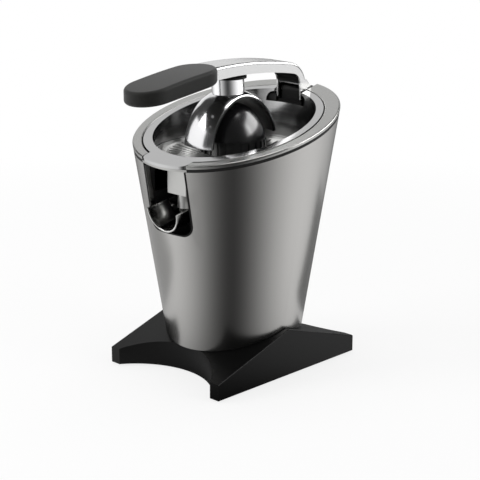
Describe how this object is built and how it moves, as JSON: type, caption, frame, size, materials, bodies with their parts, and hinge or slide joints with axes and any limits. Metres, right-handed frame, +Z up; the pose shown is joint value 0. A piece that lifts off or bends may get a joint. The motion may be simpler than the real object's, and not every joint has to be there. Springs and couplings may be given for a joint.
{
  "type": "citrus juicer",
  "caption": "Electric citrus juicer: tapered steel body on a black stand, press lever with domed press, reamer in a slanted bowl, tilting drip spout",
  "frame": {"origin": "under the middle of the whole juicer, in the plane that the feet stand on; the drive axis stands 13 mm behind it", "axes": "+Z up, -Y to the front where the spout and grip are, +X across"},
  "size_m": [0.1916, 0.2246, 0.2881],
  "materials": {
    "black_plastic": "matte",
    "black_rubber": "matte",
    "satin_steel": "brushed",
    "ring_steel": "brushed",
    "polished_steel": "polished",
    "chrome": "polished",
    "silver_arm": "satin",
    "soft_grip": "satin",
    "gloss_black": "gloss",
    "trough_steel": "polished",
    "spout_steel": "satin",
    "fastener_steel": "satin",
    "gear_plastic": "satin",
    "lamination_steel": "satin",
    "copper": "satin",
    "bronze": "satin",
    "housing_plastic": "matte"
  },
  "bodies": {
    "housing": {"base_stand": "black_plastic", "bottom_cover": "black_plastic", "rubber_feet": "black_rubber", "cover_screws": "fastener_steel", "cord_gland": "black_rubber", "terminal_block": "gear_plastic", "steel_sleeve": "satin_steel", "inner_housing": "housing_plastic", "bowl_well": "housing_plastic", "housing_screws": "fastener_steel", "notch_bezel": "black_plastic", "top_gasket": "black_rubber", "top_ring": "ring_steel", "juice_bowl": "polished_steel", "juice_spout": "spout_steel", "strainer": "ring_steel", "hinge_bracket": "black_plastic", "hinge_screws": "fastener_steel", "hinge_pin": "fastener_steel", "trough_pin": "fastener_steel", "shaft_seal": "black_rubber", "lower_bush": "bronze", "upper_bush": "bronze", "return_spring": "fastener_steel", "microswitch": "black_plastic", "idler_axle": "fastener_steel", "gearbox_case": "housing_plastic", "gearbox_lid": "housing_plastic", "gearbox_screws": "fastener_steel", "upper_motor_bracket": "lamination_steel", "lower_motor_bracket": "lamination_steel", "motor_bearings": "fastener_steel", "motor_bolts": "fastener_steel", "stator_core": "lamination_steel", "field_coils": "copper", "brush_holders": "bronze"},
    "lever": {"arm_shell": "silver_arm", "arm_liner": "black_plastic", "grip": "soft_grip", "grip_screws": "fastener_steel", "press_dome": "chrome", "dome_neck": "chrome", "neck_collar": "black_plastic", "dome_bolt": "fastener_steel"},
    "carriage": {"thrust_plunger": "gear_plastic"},
    "spindle": {"drive_shaft": "fastener_steel", "output_gear": "gear_plastic", "reamer": "gloss_black"},
    "rotor": {"rotor_shaft": "fastener_steel", "rotor_core": "lamination_steel", "rotor_windings": "copper", "commutator": "copper", "cooling_fan": "black_plastic", "motor_pinion": "fastener_steel"},
    "idler": {"idler_gear": "gear_plastic"},
    "button": {"switch_button": "gear_plastic"},
    "trough": {"drip_trough": "trough_steel"}
  },
  "joints": [
    {"name": "lever_hinge", "type": "hinge", "parent": "housing", "child": "lever", "pos_m": [0, 0.09725, 0.25], "axis": [-1, 0, 0], "range_deg": [0, 70]},
    {"name": "press_start", "type": "slide", "parent": "housing", "child": "carriage", "axis": [0, 0, -1], "range_m": [0, 0.002], "stiffness_N_per_m": 4000, "springref_m": -0.003, "deforming": ["return_spring"]},
    {"name": "rotor_spin", "type": "hinge", "parent": "housing", "child": "rotor", "pos_m": [0, 0.02925, 0.1], "axis": [0, 0, 1], "continuous": true},
    {"name": "idler_spin", "type": "hinge", "parent": "housing", "child": "idler", "pos_m": [0.02553, 0.03416, 0.15], "axis": [0, 0, 1], "continuous": true},
    {"name": "reamer_spin", "type": "hinge", "parent": "carriage", "child": "spindle", "pos_m": [0, 0.01325, 0.2], "axis": [0, 0, 1], "continuous": true},
    {"name": "switch_press", "type": "slide", "parent": "housing", "child": "button", "axis": [0, 0, -1], "range_m": [0, 0.002]},
    {"name": "trough_tilt", "type": "hinge", "parent": "housing", "child": "trough", "pos_m": [0, -0.04025, 0.157], "axis": [-1, 0, 0], "range_deg": [0, 25]}
  ],
  "couplings": [
    {"joint": "idler_spin", "follows": "rotor_spin", "ratio": -0.3},
    {"joint": "reamer_spin", "follows": "rotor_spin", "ratio": 0.066667},
    {"joint": "switch_press", "follows": "press_start", "ratio": 1}
  ]
}
